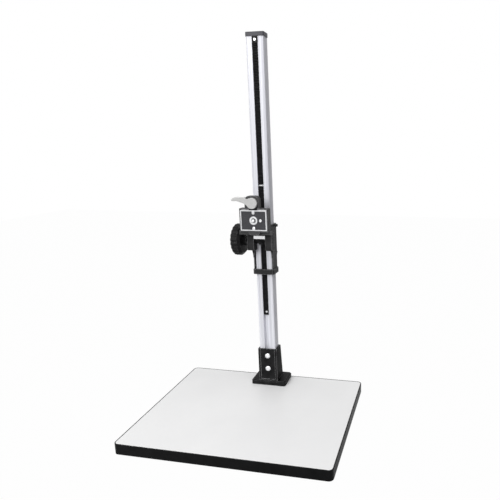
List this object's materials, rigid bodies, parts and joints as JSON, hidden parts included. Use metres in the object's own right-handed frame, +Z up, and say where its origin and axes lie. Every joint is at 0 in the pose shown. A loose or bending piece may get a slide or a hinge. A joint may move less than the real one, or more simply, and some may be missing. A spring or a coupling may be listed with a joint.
{
  "type": "copy stand",
  "caption": "Copy stand: laminated board, upright column with a rack, and a knob-driven carriage whose quick-release clamp holds a camera over the board.",
  "frame": {"origin": "on the floor under the middle of the board", "axes": "+Z up along the column, -Y towards the front of the board, +X to the right seen from the front"},
  "size_m": [0.42, 0.32, 0.7875],
  "materials": {
    "white_laminate": "satin white melamine sheet",
    "black_band": "black plastic edging",
    "wood_core": "raw particle board",
    "black_backing": "black backing sheet",
    "rubber": "matte dark rubber",
    "anodised_aluminium": "satin clear anodised, drawn along its length",
    "black_casting": "fine black powder coat on a casting",
    "grey_plastic": "dark grey moulded plastic",
    "black_plastic": "black moulded plastic",
    "black_steel": "blackened steel",
    "bright_steel": "bright nickel-plated steel",
    "plate_metal": "bare machined aluminium",
    "liner_plastic": "dark low-friction plastic",
    "lever_grey": "light grey painted lever"
  },
  "bodies": {
    "stand": {"baseboard_core": "wood_core", "baseboard_top_sheet": "white_laminate", "baseboard_backing_sheet": "black_backing", "baseboard_edge_band": "black_band", "foot_front_left": "rubber", "foot_back_left": "rubber", "foot_front_right": "rubber", "foot_back_right": "rubber", "column_socket": "black_casting", "socket_screw_lower": "bright_steel", "socket_screw_upper": "bright_steel", "socket_bolt_1": "black_steel", "socket_bolt_2": "black_steel", "socket_bolt_3": "black_steel", "socket_bolt_4": "black_steel", "column": "anodised_aluminium", "rack_lower": "black_steel", "rack_joint": "bright_steel", "rack_upper": "black_steel", "rack_end_stop": "black_plastic", "rack_screw": "bright_steel", "rack_stop_screw": "bright_steel", "column_cap": "grey_plastic"},
    "carriage": {"carriage_frame": "black_casting", "side_liner_left": "liner_plastic", "side_liner_right": "liner_plastic", "front_liner_left": "liner_plastic", "front_liner_right": "liner_plastic", "rear_liner": "liner_plastic", "collar_bush": "liner_plastic", "rear_plate": "black_steel", "rear_plate_screw_1": "black_steel", "rear_plate_screw_2": "black_steel", "rear_plate_screw_3": "black_steel", "rear_plate_screw_4": "black_steel", "shaft_bush_left": "liner_plastic", "shaft_bush_right": "liner_plastic", "bush_set_screw_upper": "black_steel", "bush_set_screw_lower": "black_steel", "pinion_guard": "bright_steel", "clamp_body": "black_casting", "release_plate": "plate_metal", "plate_pad": "rubber", "screw_washer": "black_plastic", "lever_spring": "bright_steel", "lever_spring_cap": "black_plastic", "alignment_pin_spring": "bright_steel", "clamp_bolt_1": "black_steel", "clamp_bolt_2": "black_steel"},
    "drive": {"pinion_shaft": "bright_steel", "drive_pinion": "black_steel", "drive_knob": "black_plastic", "knob_cover": "grey_plastic", "knob_grub_screw": "black_steel"},
    "friction": {"friction_screw": "black_plastic"},
    "lever": {"lock_lever": "lever_grey", "lever_cam": "black_steel"},
    "jaw": {"moving_jaw": "black_steel"},
    "camera_screw": {"camera_screw": "bright_steel"},
    "pin": {"alignment_pin": "bright_steel"}
  },
  "joints": [
    {"name": "carriage_slide", "type": "slide", "parent": "stand", "child": "carriage", "axis": [0, 0, 1], "range_m": [-0.165, 0.365]},
    {"name": "drive_spin", "type": "hinge", "parent": "carriage", "child": "drive", "pos_m": [0, 0.1042, 0.3675], "axis": [1, 0, 0], "range_deg": [-2200, 1000]},
    {"name": "friction_turn", "type": "hinge", "parent": "carriage", "child": "friction", "pos_m": [0.025, 0.13, 0.3958], "axis": [1, 0, 0], "range_deg": [-90, 90]},
    {"name": "lever_turn", "type": "hinge", "parent": "carriage", "child": "lever", "pos_m": [-0.0012, 0.062, 0.4513], "axis": [0, 1, 0], "range_deg": [0, 80]},
    {"name": "jaw_slide", "type": "slide", "parent": "carriage", "child": "jaw", "axis": [0, 0, 1], "range_m": [0, 0.0014]},
    {"name": "camera_screw_turn", "type": "hinge", "parent": "carriage", "child": "camera_screw", "pos_m": [0, 0.06, 0.4157], "axis": [0, 1, 0], "continuous": true},
    {"name": "pin_slide", "type": "slide", "parent": "carriage", "child": "pin", "axis": [0, 1, 0], "range_m": [0, 0.0022], "stiffness_N_per_m": 300, "springref_m": -0.001}
  ],
  "couplings": [
    {"joint": "drive_spin", "follows": "carriage_slide", "rad_per_m": -104.72},
    {"joint": "jaw_slide", "follows": "lever_turn", "m_per_rad": 0.001}
  ]
}
